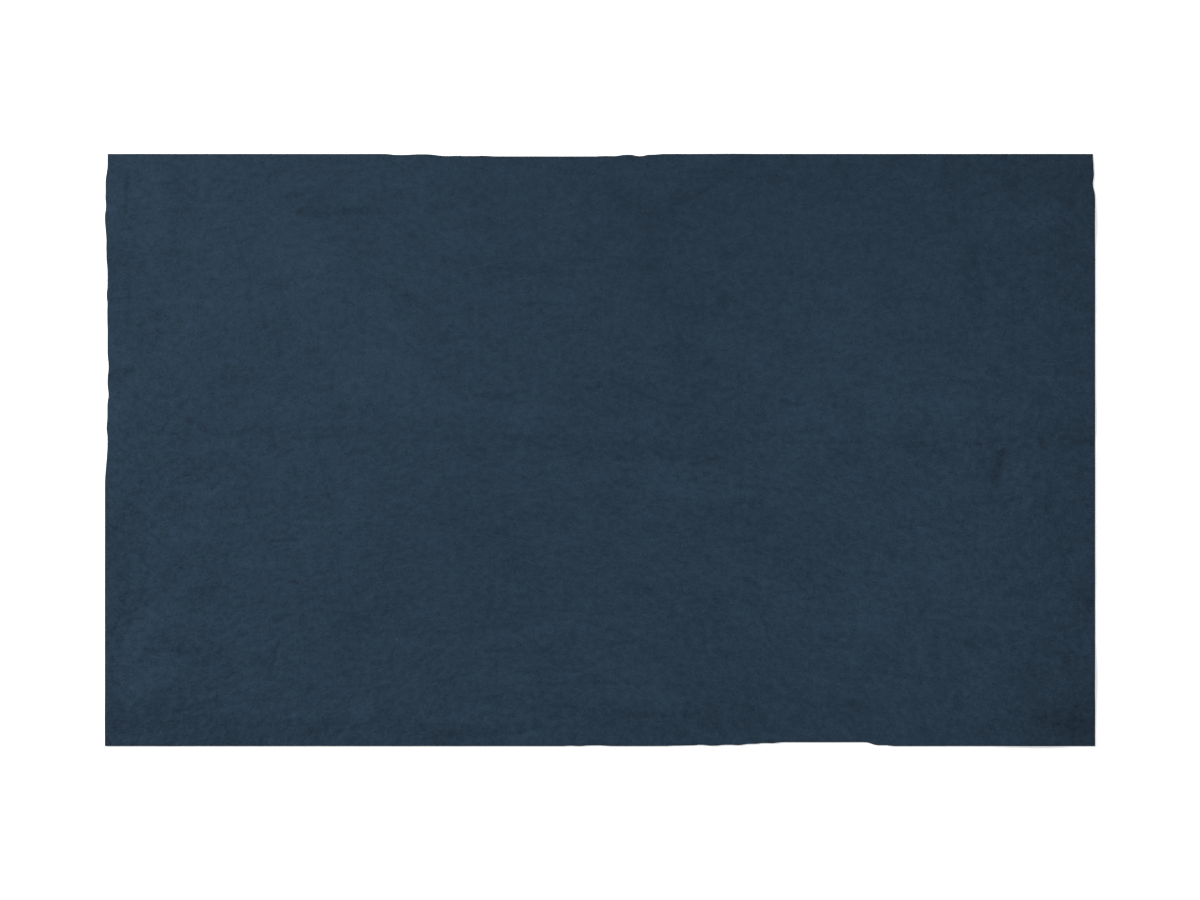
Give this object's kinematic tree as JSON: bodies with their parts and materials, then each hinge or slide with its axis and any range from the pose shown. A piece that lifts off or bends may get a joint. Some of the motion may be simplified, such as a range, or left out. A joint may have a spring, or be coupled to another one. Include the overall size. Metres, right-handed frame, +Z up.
{
  "type": "fleece blanket",
  "caption": "Flat rectangular fleece blanket with plain cut edges and faint soft folds, for covering a person, bed or seat.",
  "frame": {"origin": "on the resting surface, under the middle of the blanket", "axes": "+X along the long side, +Y along the short side, +Z up out of the upper face"},
  "size_m": [1.5003, 0.8973, 0.0055],
  "materials": {
    "fleece": "brushed matte fleece, dark slate blue"
  },
  "bodies": {
    "root": {"fleece_sheet": "fleece"}
  },
  "joints": []
}
